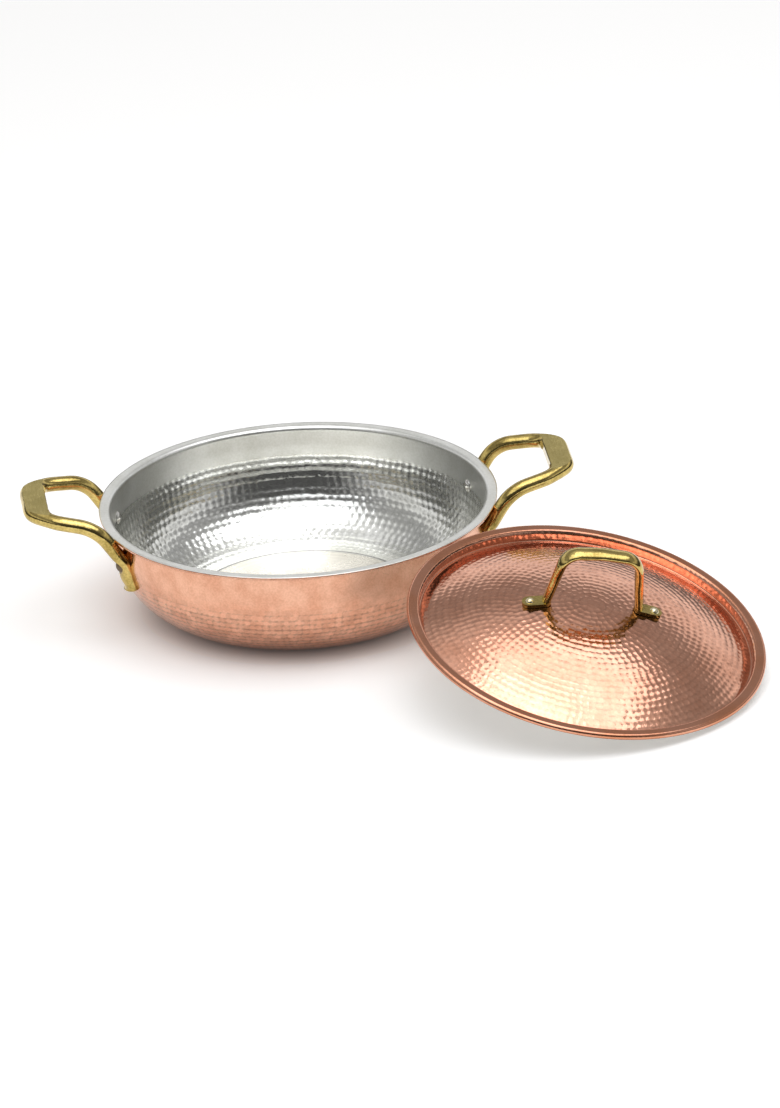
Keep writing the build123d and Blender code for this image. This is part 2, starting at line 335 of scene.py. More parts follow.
@dataclass(frozen=True)
class Hammering:
    """Rows of hammer blows round an axis.

    Attributes:
        pitch: Distance between blows and between rows.
        depth: Depth of a blow.
        start: Run along the outline where the rows begin.
        end: Run along the outline where they end.
        fade: Length over which they fade in and out.
        least: Share of the depth that stays outside the rows.
        wander: How far a blow strays, as a share of the pitch.
        stretch: Length of a blow along its row, as a share of its height.
        seed: Number that sets this sheet's pattern.
    """

    pitch: float
    depth: float
    start: float
    end: float
    fade: float = 4 * MM
    least: float = 0.0
    wander: float = 0.16
    stretch: float = 1.0
    seed: float = 1.0

    def amount(self, run: np.ndarray) -> np.ndarray:
        """Share of the full depth at a run along the outline.

        Args:
            run: Run along the outline of each point.

        Returns:
            The share at each point.
        """
        rise = np.clip((run - self.start) / self.fade, 0, 1)
        fall = np.clip((self.end - run) / self.fade, 0, 1)
        share = rise * fall
        eased = share * share * (3 - 2 * share)
        return self.least + (1 - self.least) * eased

    def scatter(self, row: np.ndarray, cell: np.ndarray, draw: Draw) -> np.ndarray:
        """Picks a fixed value for each blow, with numbers large enough that neighbours don't look alike.

        Args:
            row: Number of each blow's row.
            cell: Number of each blow in its row.
            draw: What the value is for.

        Returns:
            A value from 0 to 1 for each blow.
        """
        mixed = np.sin(row * 12.9898 + cell * 78.233 + (draw.value + self.seed) * 37.719) * 43758.5453
        return mixed - np.floor(mixed)

    def blows(
        self, run: np.ndarray, angle: np.ndarray, radius_at: np.ndarray, step: float
    ) -> tuple[np.ndarray, np.ndarray]:
        """Finds the nearest blow to each point.

        Args:
            run: Run along the outline of each point.
            angle: Angle of each point round the axis.
            radius_at: Radius of the outline at evenly spaced runs.
            step: Spacing of those runs.

        Returns:
            How far each point is from its blow's middle, squared, in half pitches, and the blow's value.
        """
        best = np.full(run.shape, np.inf)
        tone = np.zeros(run.shape)
        for row_step in (-1, 0, 1):
            row = np.floor(run / self.pitch) + row_step
            middle = (row + 0.5) * self.pitch
            index = np.clip(middle / step, 0, len(radius_at) - 1).astype(int)
            radius = np.maximum(radius_at[index], self.pitch / 2)
            count = np.maximum(np.round(2 * math.pi * radius / self.pitch), 3)
            turn = angle / (2 * math.pi) * count + self.scatter(row, row * 0, Draw.ROW)
            for cell_step in (-1, 0, 1):
                cell = np.floor(turn) + cell_step
                name = np.mod(cell, count)
                stray_along = self.wander * (self.scatter(row, name, Draw.ALONG) - 0.5) * 2
                stray_across = self.wander * (self.scatter(row, name, Draw.ACROSS) - 0.5) * 2
                along = turn - cell - 0.5 + stray_along
                across = (run - middle) / self.pitch + stray_across
                away = ((along / self.stretch) ** 2 + across**2) * 4
                nearer = away < best
                best = np.where(nearer, away, best)
                tone = np.where(nearer, self.scatter(row, name, Draw.TONE), tone)
        return best, tone


def read(values: bpy.types.bpy_prop_collection, field: str, width: int = 1) -> np.ndarray:
    """Reads a field of a mesh into an array.

    Args:
        values: Vertices or attribute values of the mesh.
        field: Name of the field.
        width: Numbers in one value.

    Returns:
        The numbers, one row for each vertex where there are more than one.
    """
    out = np.zeros(len(values) * width)
    values.foreach_get(field, out)
    return out.reshape(-1, width) if width > 1 else out


@dataclass(frozen=True)
class Sheet:
    """A sheet of metal turned round an axis and hammered on its front.

    Attributes:
        name: Name of the piece.
        front: Outline of the hammered side, from the axis to the edge.
        back: Outline of the other side, from the axis to the edge.
        segments: Steps round the axis.
        hammering: Patterns of blows on the front.
        place: Placement of the piece's own frame in the row frame.
        blow_reach: How far a blow reaches from its middle, squared, in half pitches.
        least_amount: Share of the depth under which a blow has no tone of its own.
        run_step: Spacing at which the outline's radius is noted.
        weld: Distance within which points on the seam and on the axis become one.
    """

    name: str
    front: Outline
    back: Outline
    segments: int
    hammering: tuple[Hammering, ...]
    place: Matrix
    blow_reach: float = 1.3
    least_amount: float = 0.05
    run_step: float = 0.5 * MM
    weld: float = 0.001 * MM

    @property
    def lengths(self) -> np.ndarray:
        """Run along the front outline at each of its points."""
        return np.cumsum([0.0] + [math.dist(start, end) for start, end in zip(self.front, self.front[1:])])

    def build(self) -> bpy.types.Object:
        """Makes the piece.

        Returns:
            The new object, at the origin.
        """
        mesh = self.turned()
        self.hammer(mesh)
        mesh.transform(self.place)
        mesh.shade_smooth()
        mesh.update()
        piece = bpy.data.objects.new(self.name, mesh)
        bpy.context.scene.collection.objects.link(piece)
        log.info("%s: %d faces", self.name, len(mesh.polygons))
        return piece

    def turned(self) -> bpy.types.Mesh:
        """Wraps a grid round the axis along the two outlines into a closed sheet.

        A spin in as many steps takes over a minute, and the grid a second.

        Returns:
            The mesh, with the run along the front and a mark for the front as attributes.
        """
        form = bmesh.new()
        run_layer = form.verts.layers.float.new("run")
        front_layer = form.verts.layers.float.new("front")
        outline = self.front + self.back[::-1]
        lengths = self.lengths
        last = len(outline) - 1
        bmesh.ops.create_grid(form, x_segments=last, y_segments=self.segments, size=1)
        seam = []
        for vert in form.verts:
            point = round((vert.co.x + 1) / 2 * last)
            turn = round((vert.co.y + 1) / 2 * self.segments)
            radius, level = outline[point]
            angle = 2 * math.pi * (turn % self.segments) / self.segments
            vert.co = (radius * math.cos(angle), radius * math.sin(angle), level)
            if point < len(self.front):
                vert[run_layer] = lengths[point]
                vert[front_layer] = 1.0
            if turn in (0, self.segments) or point in (0, last):
                seam.append(vert)
        bmesh.ops.remove_doubles(form, verts=seam, dist=self.weld)
        bmesh.ops.recalc_face_normals(form, faces=form.faces)
        form.normal_update()
        mesh = bpy.data.meshes.new(self.name)
        form.to_mesh(mesh)
        form.free()
        return mesh

    def hammer(self, mesh: bpy.types.Mesh) -> None:
        """Sinks the blows into the front, and notes the rise between them and each blow's tone.

        Args:
            mesh: The turned sheet.
        """
        places = read(mesh.vertices, "co", 3)
        normals = read(mesh.vertices, "normal", 3)
        runs = read(mesh.attributes["run"].data, "value")
        front = read(mesh.attributes["front"].data, "value") > 0.5
        angles = np.arctan2(places[:, 1], places[:, 0])
        from_axis = np.hypot(places[:, 0], places[:, 1])
        lengths = self.lengths
        noted = np.arange(0, lengths[-1], self.run_step)
        radius_at = np.interp(noted, lengths, [radius for radius, _ in self.front])
        move = np.zeros(len(places))
        ridge = np.zeros(len(places))
        blow = np.full(len(places), 0.5)
        for pattern in self.hammering:
            away, tone = pattern.blows(runs, angles, radius_at, self.run_step)
            near_axis = np.clip(from_axis / (2 * pattern.pitch), 0, 1)
            amount = pattern.amount(runs) * front * near_axis
            share = np.minimum(away / self.blow_reach, 1)
            move += amount * pattern.depth * (share - 1)
            ridge = np.maximum(ridge, amount * share)
            blow = np.where(amount > self.least_amount, 0.5 + (tone - 0.5) * amount, blow)
        places += normals * move[:, None]
        mesh.vertices.foreach_set("co", places.ravel())
        for name, values in (("ridge", ridge), ("blow", blow)):
            mesh.attributes.new(name, "FLOAT", "POINT").data.foreach_set("value", values)


# Shader helpers


class Nodes:
    """Adds nodes to a node tree in short calls."""

    def __init__(self, tree: bpy.types.NodeTree) -> None:
        """Keeps the tree.

        Args:
            tree: Tree that the nodes go to.
        """
        self.tree = tree

    def add(self, kind: str, inputs: dict | None = None, **settings: object) -> bpy.types.Node:
        """Adds a node.

        Args:
            kind: Type of the node.
            inputs: Values or sockets for its inputs, by name or number.
            **settings: The node's own settings.

        Returns:
            The node.
        """
        node = self.tree.nodes.new(kind)
        for key, value in settings.items():
            setattr(node, key, value)
        for key, value in (inputs or {}).items():
            self.feed(node.inputs[key], value)
        return node

    def feed(self, socket: Socket, value: object) -> None:
        """Links a socket to another, or sets its value.

        Args:
            socket: The input.
            value: A socket or a plain value.
        """
        if isinstance(value, Socket):
            self.tree.links.new(value, socket)
        else:
            socket.default_value = value

    def math(self, operation: str, first: object, second: object = 0.0) -> Socket:
        """Adds a math node.

        Args:
            operation: What it does.
            first: Its first value or socket.
            second: Its second value or socket.

        Returns:
            Its result.
        """
        return self.add("ShaderNodeMath", {0: first, 1: second}, operation=operation).outputs[0]

    def noise(self, where: object, scale: object, detail: float = 3.0, rough: float = 0.6) -> Socket:
        """Adds a noise texture.

        Args:
            where: Socket of the place it is read at.
            scale: Its scale, or the scale's socket.
            detail: How many finer layers it has.
            rough: Strength of the finer layers.

        Returns:
            Its value.
        """
        inputs = {"Vector": where, "Scale": scale, "Detail": detail, "Roughness": rough}
        return self.add("ShaderNodeTexNoise", inputs).outputs["Fac"]

    def span(self, value: object, low: float, high: float, start: float = 0.0, end: float = 1.0) -> Socket:
        """Maps a range of a value to another range, eased at both ends.

        Args:
            value: The value's socket.
            low: Value at which the result starts.
            high: Value at which the result ends.
            start: Result at the low value.
            end: Result at the high value.

        Returns:
            The result.
        """
        inputs = {"Value": value, "From Min": low, "From Max": high, "To Min": start, "To Max": end}
        return self.add("ShaderNodeMapRange", inputs, interpolation_type="SMOOTHSTEP").outputs["Result"]

    def mix(self, share: object, first: object, second: object) -> Socket:
        """Mixes two colours.

        Args:
            share: How much of the second colour is in the mix.
            first: The first colour or its socket.
            second: The second colour or its socket.

        Returns:
            The mixed colour.
        """
        node = self.add("ShaderNodeMix", data_type="RGBA")
        factor, colours = node.inputs[0], node.inputs[6:8]
        self.feed(factor, share)
        for socket, value in zip(colours, (first, second)):
            self.feed(socket, (*value, 1.0) if isinstance(value, tuple) else value)
        return node.outputs[2]

    def place(self) -> Socket:
        """Place on the piece in the row frame."""
        return self.add("ShaderNodeTexCoord").outputs["Object"]

    def turned_place(self, where: Socket) -> tuple[Socket, Socket]:
        """Finds a place's distance from the pan's axis and its level.

        Args:
            where: Socket of the place.

        Returns:
            The distance and the level.
        """
        split = self.add("ShaderNodeSeparateXYZ", {0: where})
        across = self.math("POWER", split.outputs[0], 2.0)
        along = self.math("POWER", split.outputs[1], 2.0)
        return self.math("SQRT", self.math("ADD", across, along)), split.outputs[2]


def new_group(
    name: str, inputs: dict[str, float], outputs: list[str]
) -> tuple[Nodes, bpy.types.Node, bpy.types.Node]:
    """Starts a node group.

    Args:
        name: Name of the group.
        inputs: Names and defaults of its values.
        outputs: Names of its results.

    Returns:
        The node helper, the group's input node and its output node.
    """
    tree = bpy.data.node_groups.new(name, "ShaderNodeTree")
    for key, value in inputs.items():
        socket = tree.interface.new_socket(key, in_out="INPUT", socket_type="NodeSocketFloat")
        socket.default_value = value
    for key in outputs:
        tree.interface.new_socket(key, in_out="OUTPUT", socket_type="NodeSocketFloat")
    nodes = Nodes(tree)
    return nodes, nodes.add("NodeGroupInput"), nodes.add("NodeGroupOutput")


def patina_group() -> bpy.types.NodeTree:
    """Makes the group for handled metal: clouds of tone, fine specks and faint scratches.

    Returns:
        The group.
    """
    nodes, given, out = new_group("Patina", {"Cloud": 30.0, "Speck": 500.0}, ["Cloud", "Speck", "Scratch"])
    where = nodes.place()
    cloud = nodes.noise(where, given.outputs["Cloud"], 4.0, 0.5)
    speck = nodes.noise(where, given.outputs["Speck"], 2.0, 0.5)
    grain = {"Vector": where, "Rotation": (0.3, 0.2, 0.7), "Scale": (60, 900, 200)}
    scratch = nodes.noise(nodes.add("ShaderNodeMapping", grain).outputs[0], 1.0, 4.0, 0.7)
    nodes.feed(out.inputs["Cloud"], nodes.span(cloud, 0.3, 0.7))
    nodes.feed(out.inputs["Speck"], nodes.span(speck, 0.35, 0.65))
    nodes.feed(out.inputs["Scratch"], nodes.span(scratch, 0.62, 0.8))
    return nodes.tree


def blow_group() -> bpy.types.NodeTree:
    """Makes the group that reads a sheet's hammer blows: the rise between blows and each blow's tone.

    Returns:
        The group.
    """
    nodes, _, out = new_group("Hammer blows", {}, ["Ridge", "Tone"])
    ridge = nodes.add("ShaderNodeAttribute", attribute_name="ridge").outputs["Fac"]
    tone = nodes.add("ShaderNodeAttribute", attribute_name="blow").outputs["Fac"]
    nodes.feed(out.inputs["Ridge"], nodes.span(ridge, 0.3, 0.85))
    nodes.feed(out.inputs["Tone"], tone)
    return nodes.tree


# Metals


@dataclass(frozen=True)
class Metal:
    """Finish of a metal.

    Attributes:
        name: Name of the material.
        clean: Colour of clean metal.
        worn: Colour of darker patches.
        rough: Roughness, at its lowest and at its highest.
        cloud: Scale of the patches.
        speck: Scale of the specks.
        grain: Height of the specks, in metres.
        blow_tone: How much each hammer blow differs in tone.
        speck_share: Share of the specks in the patches.
        ridge_painted_shade: Painted shade on the rise between blows, how much darker it is as a share of
            the tone.
        ridge_rough: Roughness added there.
        scratch_depth: Depth of the scratches, as a share of the specks' height.
    """

    name: str
    clean: Colour
    worn: Colour
    rough: Span
    cloud: float
    speck: float
    grain: float
    blow_tone: float = 0.0
    speck_share: float = 0.35
    ridge_painted_shade: float = 1.3
    ridge_rough: float = 0.05
    scratch_depth: float = 0.6


@dataclass(frozen=True)
class Flange:
    """Tarnish on the lid's flat flange.

    Attributes:
        start: Run along the outline where the flange begins.
        colour: Colour of the tarnish.
        fade: Length over which it begins.
        share: How much it covers.
        matt: Roughness that it adds.
    """

    start: float
    colour: Colour = (0.62, 0.25, 0.13)
    fade: float = 1 * MM
    share: float = 0.85
    matt: float = 0.08


@dataclass(frozen=True)
class TurnedTin:
    """Rings turned in the tin's flat disc, a shade painted along its edge, and the duller band under the
    rim.

    Attributes:
        disc: Radius of the disc.
        band: Level where the band begins.
        pale: Colour of the rings' pale parts.
        dark: Colour of their dark parts.
        edge: Colour of the shade painted along the disc's edge.
        rings: Scale of the rings.
        relief: Height of the rings, as a share of the specks'.
        share: How much the rings' colours cover.
        matt: Roughness that the rings add.
        edge_width: Distance over which the painted shade at the edge fades.
        disc_fade: Distance over which the rings end.
        low: Levels over which the marks of the disc end.
        band_rough: Roughness of the band.
        band_fade: Height over which it begins.
    """

    disc: float
    band: float = 50 * MM
    pale: Colour = (0.84, 0.79, 0.70)
    dark: Colour = (0.58, 0.53, 0.46)
    edge: Colour = (0.30, 0.29, 0.28)
    rings: float = 900.0
    relief: float = 6.0
    share: float = 0.8
    matt: float = 0.14
    edge_width: float = 1.2 * MM
    disc_fade: float = 2 * MM
    low: Span = (4 * MM, 12 * MM)
    band_rough: float = 0.34
    band_fade: float = 8 * MM


@dataclass(frozen=True)
class GroundTop:
    """Flat top of a cast handle, ground and left matt.

    Attributes:
        colour: Colour of the ground face.
        share: How much it covers.
        level: Upward part of the normal over which the face begins.
        grain: Scale of the grinding marks, along each axis.
        matt: Roughness that the marks add, at their lowest and at their highest.
    """

    colour: Colour = (0.40, 0.32, 0.08)
    share: float = 0.75
    level: Span = (0.992, 0.999)
    grain: tuple[float, float, float] = (1500.0, 90.0, 200.0)
    matt: Span = (0.16, 0.30)


@dataclass(frozen=True)
class OuterHead:
    """Dark outer head of a rivet through the pan's wall.

    Attributes:
        wall: Distance of the wall from the pan's axis.
        colour: Colour of the head.
        fade: Distance over which the colour changes.
        matt: Roughness that it adds.
    """

    wall: float
    colour: Colour = (0.16, 0.12, 0.08)
    fade: float = 2 * MM
    matt: float = 0.12


@dataclass
class Coat:
    """A metal while it is being made.

    Attributes:
        material: The material.
        nodes: Its node helper.
        metal: Its finish.
        where: Place on the piece.
        cloud: Patches.
        speck: Specks.
        scratch: Scratches.
        colour: Colour so far.
        rough: Roughness so far.
        relief: Height added to the specks, if any.
    """

    material: bpy.types.Material
    nodes: Nodes
    metal: Metal
    where: Socket
    cloud: Socket
    speck: Socket
    scratch: Socket
    colour: Socket
    rough: Socket
    relief: Socket | None = None


class MetalShop:
    """Makes the metals from shared groups."""

    def __init__(self) -> None:
        """Makes the shared groups."""
        self.patina = patina_group()
        self.blows = blow_group()

    def start(self, metal: Metal) -> Coat:
        """Starts a metal.

        Args:
            metal: Its finish.

        Returns:
            The coat, ready for marks of its own.
        """
        material = bpy.data.materials.new(metal.name)
        material.use_nodes = True
        material.node_tree.nodes.clear()
        nodes = Nodes(material.node_tree)
        patina = nodes.add("ShaderNodeGroup", node_tree=self.patina)
        patina.inputs["Cloud"].default_value = metal.cloud
        patina.inputs["Speck"].default_value = metal.speck
        cloud, speck, scratch = (patina.outputs[key] for key in ("Cloud", "Speck", "Scratch"))
        clouded = nodes.math("MULTIPLY", cloud, 1 - metal.speck_share)
        spotted = nodes.math("ADD", clouded, nodes.math("MULTIPLY", speck, metal.speck_share))
        colour = nodes.mix(spotted, metal.clean, metal.worn)
        rough = nodes.span(spotted, 0.0, 1.0, *metal.rough)
        if metal.blow_tone:
            blows = nodes.add("ShaderNodeGroup", node_tree=self.blows).outputs
            shift = nodes.math("MULTIPLY", nodes.math("SUBTRACT", blows["Tone"], 0.5), metal.blow_tone)
            # Painted shade: the rise between blows is darkened, standing in for the shade at the blows'
            # edges.
            line = nodes.math("MULTIPLY", blows["Ridge"], metal.blow_tone * metal.ridge_painted_shade)
            value = nodes.math("ADD", nodes.math("SUBTRACT", shift, line), 1.0)
            colour = nodes.add("ShaderNodeHueSaturation", {"Value": value, "Color": colour}).outputs[0]
            rough = nodes.math("ADD", rough, nodes.math("MULTIPLY", blows["Ridge"], metal.ridge_rough))
        return Coat(material, nodes, metal, nodes.place(), cloud, speck, scratch, colour, rough)

    def finish(self, coat: Coat) -> bpy.types.Material:
        """Joins a coat to a metal shader.

        Args:
            coat: The coat.

        Returns:
            The finished material.
        """
        nodes, metal = coat.nodes, coat.metal
        scratches = nodes.math("MULTIPLY", coat.scratch, metal.scratch_depth)
        height = nodes.math("SUBTRACT", coat.speck, scratches)
        if coat.relief is not None:
            height = nodes.math("ADD", height, coat.relief)
        bump = nodes.add("ShaderNodeBump", {"Strength": 1.0, "Distance": metal.grain, "Height": height})
        shader = nodes.add("ShaderNodeBsdfPrincipled", {"Base Color": coat.colour, "Metallic": 1.0})
        nodes.feed(shader.inputs["Roughness"], coat.rough)
        nodes.feed(shader.inputs["Normal"], bump.outputs[0])
        nodes.add("ShaderNodeOutputMaterial", {"Surface": shader.outputs[0]})
        return coat.material

    def plain(self, metal: Metal) -> bpy.types.Material:
        """Makes a metal with no marks of its own."""
        return self.finish(self.start(metal))

    def flanged(self, metal: Metal, flange: Flange) -> bpy.types.Material:
        """Makes the lid's copper, with its flat flange tarnished.

        Args:
            metal: Its finish.
            flange: The tarnish.

        Returns:
            The material.
        """
        coat = self.start(metal)
        nodes = coat.nodes
        run = nodes.add("ShaderNodeAttribute", attribute_name="run").outputs["Fac"]
        inside = nodes.span(run, flange.start - flange.fade, flange.start)
        cover = nodes.math("MULTIPLY", inside, flange.share)
        coat.colour = nodes.mix(cover, coat.colour, nodes.mix(coat.cloud, metal.worn, flange.colour))
        coat.rough = nodes.math("ADD", coat.rough, nodes.math("MULTIPLY", cover, flange.matt))
        return self.finish(coat)

    def lining(self, metal: Metal, turned: TurnedTin) -> bpy.types.Material:
        """Makes wiped tin, with rings turned in the flat disc, a shade painted along its edge and a duller
        band under the rim.

        Args:
            metal: Its finish.
            turned: The rings and the band.

        Returns:
            The material.
        """
        coat = self.start(metal)
        nodes = coat.nodes
        radius, level = nodes.turned_place(coat.where)
        ring = nodes.add("ShaderNodeCombineXYZ", {0: nodes.math("MULTIPLY", radius, turned.rings)})
        rings = nodes.noise(ring.outputs[0], 1.0)
        flat = nodes.span(radius, turned.disc - turned.disc_fade, turned.disc, 1.0, 0.0)
        from_edge = nodes.math("ABSOLUTE", nodes.math("SUBTRACT", radius, turned.disc))
        edge = nodes.span(from_edge, 0.0, turned.edge_width, 1.0, 0.0)
        low = nodes.span(level, *turned.low, 1.0, 0.0)
        marks = nodes.math("MULTIPLY", nodes.math("MULTIPLY", rings, flat), low)
        coat.relief = nodes.math("MULTIPLY", marks, turned.relief)
        cover = nodes.math("MULTIPLY", flat, turned.share)
        tones = nodes.mix(nodes.span(rings, 0.35, 0.65), turned.pale, turned.dark)
        coat.colour = nodes.mix(cover, coat.colour, tones)
        # Painted shade: a dark line along the disc's edge, where the disc steps down.
        coat.colour = nodes.mix(nodes.math("MULTIPLY", edge, low), coat.colour, turned.edge)
        dull = nodes.span(level, turned.band, turned.band + turned.band_fade)
        matt = nodes.math("MULTIPLY", nodes.math("SUBTRACT", turned.band_rough, coat.rough), dull)
        matt = nodes.math("ADD", nodes.math("MULTIPLY", flat, turned.matt), matt)
        coat.rough = nodes.math("ADD", coat.rough, matt)
        coat.speck = nodes.math("MULTIPLY", coat.speck, nodes.math("SUBTRACT", 1.0, dull))
        return self.finish(coat)

    def cast(self, metal: Metal, top: GroundTop) -> bpy.types.Material:
        """Makes cast brass, bright on its round faces and matt where its top is ground flat.

        Args:
            metal: Its finish.
            top: The ground face.

        Returns:
            The material.
        """
        coat = self.start(metal)
        nodes = coat.nodes
        normal = nodes.add("ShaderNodeNewGeometry").outputs["True Normal"]
        upward = nodes.add("ShaderNodeSeparateXYZ", {0: normal}).outputs[2]
        flat = nodes.span(upward, *top.level)
        lines = nodes.add("ShaderNodeMapping", {"Vector": coat.where, "Scale": top.grain})
        brushed = nodes.span(nodes.noise(lines.outputs[0], 1.0), 0.3, 0.7, *top.matt)
        coat.colour = nodes.mix(nodes.math("MULTIPLY", flat, top.share), coat.colour, top.colour)
        coat.rough = nodes.math("ADD", coat.rough, nodes.math("MULTIPLY", flat, brushed))
        return self.finish(coat)

    def two_tone(self, metal: Metal, head: OuterHead) -> bpy.types.Material:
        """Makes rivets that are tinned inside the pan and dark outside.

        Args:
            metal: Finish of the inner heads.
            head: The outer heads.

        Returns:
            The material.
        """
        coat = self.start(metal)
        nodes = coat.nodes
        radius, _ = nodes.turned_place(coat.where)
        outside = nodes.span(radius, head.wall, head.wall + head.fade)
        coat.colour = nodes.mix(outside, coat.colour, head.colour)
        coat.rough = nodes.math("ADD", coat.rough, nodes.math("MULTIPLY", outside, head.matt))
        return self.finish(coat)


PAN_COPPER = Metal(
    name="Pan copper",
    clean=(0.84, 0.48, 0.33),
    worn=(0.66, 0.32, 0.20),
    rough=(0.07, 0.14),
    cloud=60.0,
    speck=700.0,
    grain=0.04 * MM,
    blow_tone=0.24,
)
LID_COPPER = Metal(
    name="Lid copper",
    clean=(0.87, 0.46, 0.32),
    worn=(0.72, 0.34, 0.22),
    rough=(0.06, 0.13),
    cloud=32.0,
    speck=480.0,
    grain=0.02 * MM,
    blow_tone=0.13,
)
TIN = Metal(
    name="Tin",
    clean=(0.96, 0.96, 0.93),
    worn=(0.80, 0.80, 0.75),
    rough=(0.09, 0.19),
    cloud=40.0,
    speck=600.0,
    grain=0.02 * MM,
    blow_tone=0.10,
)
BRASS = Metal(
    name="Brass",
    clean=(0.74, 0.57, 0.20),
    worn=(0.36, 0.26, 0.07),
    rough=(0.04, 0.12),
    cloud=75.0,
    speck=700.0,
    grain=0.015 * MM,
)
PALE_BRASS = Metal(
    name="Lid rivet brass",
    clean=(0.80, 0.72, 0.50),
    worn=(0.62, 0.52, 0.32),
    rough=(0.14, 0.28),
    cloud=90.0,
    speck=900.0,
    grain=0.01 * MM,
)
RIVET_TIN = Metal(
    name="Rivet",
    clean=(0.78, 0.77, 0.73),
    worn=(0.58, 0.56, 0.52),
    rough=(0.15, 0.3),
    cloud=90.0,
    speck=900.0,
    grain=0.01 * MM,
)


# Sub-assemblies


def paint(node: str, material: bpy.types.Material) -> None:
    """Gives a CAD node a material.

    Args:
        node: Name of the node.
        material: Its material.
    """
    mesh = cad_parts[node].data
    mesh.materials.clear()
    mesh.materials.append(material)
    log.info("%s: %s", node, material.name)


def adopt(piece: bpy.types.Object, node: str, body: Body, material: bpy.types.Material) -> None:
    """Puts a new piece in the place of a CAD node.

    Args:
        piece: The new piece.
        node: The node it stands for.
        body: The body it rides on.
        material: Its material.
    """
    piece.data.materials.append(material)
    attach(piece, body.value)
    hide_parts(node)


@dataclass
class Pan:
    """The pan: its sheet, its lining, its handles and their rivets.

    Attributes:
        shape: Its sizes.
        shop: Where its metals are made.
        segments: Steps round its axis.
        fine: Spacing of the points on the hammered wall.
        floor_spacing: Spacing on the flat base inside.
        coarse: Spacing where the sheet is plain.
        rows: Blows on the outside.
        dimples: Blows on the inside.
    """

    shape: PanShape
    shop: MetalShop
    segments: int = 630
    fine: float = 1.25 * MM
    floor_spacing: float = 4.0 * MM
    coarse: float = 6.0 * MM
    rows: Hammering = Hammering(
        pitch=4.6 * MM,
        depth=0.26 * MM,
        start=84 * MM,
        end=166 * MM,
        fade=22 * MM,
        least=0.1,
        wander=0.07,
        stretch=1.3,
        seed=2.0,
    )
    dimples: Hammering = Hammering(
        pitch=5.4 * MM,
        depth=0.33 * MM,
        start=82 * MM,
        end=165 * MM,
        fade=6 * MM,
        wander=0.09,
        stretch=1.05,
        seed=4.0,
    )

    def build(self) -> None:
        """Makes the pan's pieces."""
        self.body()
        self.lining()
        self.handles()
        log.info("pan made")

    def face(self) -> Outline:
        """Half outline of the plain face between the copper and the tin."""
        return self.shape.skin(self.shape.copper, self.coarse, self.coarse * 2)

    def body(self) -> None:
        """Makes the copper sheet."""
        outside = self.shape.skin(0.0, self.fine, self.coarse)
        sheet = Sheet("pan_sheet", outside, self.face(), self.segments, (self.rows,), Matrix.Identity(4))
        adopt(sheet.build(), "pan_body", Body.PAN, self.shop.plain(PAN_COPPER))

    def lining(self) -> None:
        """Makes the tin, with its turned disc."""
        inside = self.shape.skin(self.shape.sheet, self.fine, self.floor_spacing, turned=True)
        sheet = Sheet("pan_tin", inside, self.face(), self.segments, (self.dimples,), Matrix.Identity(4))
        tin = self.shop.lining(TIN, TurnedTin(self.shape.disc))
        adopt(sheet.build(), "pan_lining", Body.PAN, tin)

    def handles(self) -> None:
        """Dresses the two cast handles and their rivets."""
        brass = self.shop.cast(BRASS, GroundTop())
        rivet = self.shop.two_tone(RIVET_TIN, OuterHead(self.shape.opening))
        for side in ("left", "right"):
            paint(f"{side}_handle", brass)
            for place in ("front", "rear"):
                paint(f"{side}_{place}_rivet", rivet)


@dataclass
class Lid:
    """The lid: its sheet, its lining, its strap handle and the rivets.

    Attributes:
        pan: Sizes of the pan that it leans on.
        shape: Its sizes.
        place: Its rest pose.
        shop: Where its metals are made.
        segments: Steps round its axis.
        fine: Spacing of the points on top.
        coarse: Spacing underneath.
        coarse_arc: Degrees between the points of a bend underneath.
        dome_start: Run where the rows on the dome begin, before its middle, which is hammered too.
    """

    pan: PanShape
    shape: LidShape
    place: LidPlace
    shop: MetalShop
    segments: int = 580
    fine: float = 1.2 * MM
    coarse: float = 6.0 * MM
    coarse_arc: float = 30.0
    dome_start: float = -10 * MM

    def build(self) -> None:
        """Makes the lid's pieces."""
        self.body()
        self.fittings()
        log.info("lid made")

    def rows(self) -> Hammering:
        """Sets the blows on the dome.

        Returns:
            Their rows.
        """
        return Hammering(
            pitch=4.7 * MM,
            depth=0.26 * MM,
            start=self.dome_start,
            end=self.shape.dome_run,
            fade=2 * MM,
            wander=0.09,
            stretch=1.3,
            seed=7.0,
        )

    def wall_rows(self) -> Hammering:
        """Sets the blows on the step's wall.

        Returns:
            Their rows.
        """
        start = self.shape.dome_run + self.shape.groove
        return Hammering(
            pitch=4.2 * MM,
            depth=0.26 * MM,
            start=start,
            end=start + self.shape.step,
            fade=1 * MM,
            seed=9.0,
        )

    def body(self) -> None:
        """Makes the copper sheet."""
        top = self.shape.skin(0.0, self.fine)
        under = self.shape.skin(self.shape.copper, self.coarse, self.coarse_arc)
        rows, wall = self.rows(), self.wall_rows()
        where = self.place.matrix(self.pan, self.shape)
        sheet = Sheet("lid_sheet", top, under, self.segments, (rows, wall), where)
        copper = self.shop.flanged(LID_COPPER, Flange(wall.end))
        adopt(sheet.build(), "lid_body", Body.LID, copper)

    def fittings(self) -> None:
        """Dresses the lining, the strap handle and its rivets."""
        paint("lid_lining", self.shop.plain(TIN))
        paint("lid_handle", self.shop.plain(BRASS))
        rivet = self.shop.plain(PALE_BRASS)
        for side in ("left", "right"):
            paint(f"lid_{side}_rivet", rivet)


# Studio


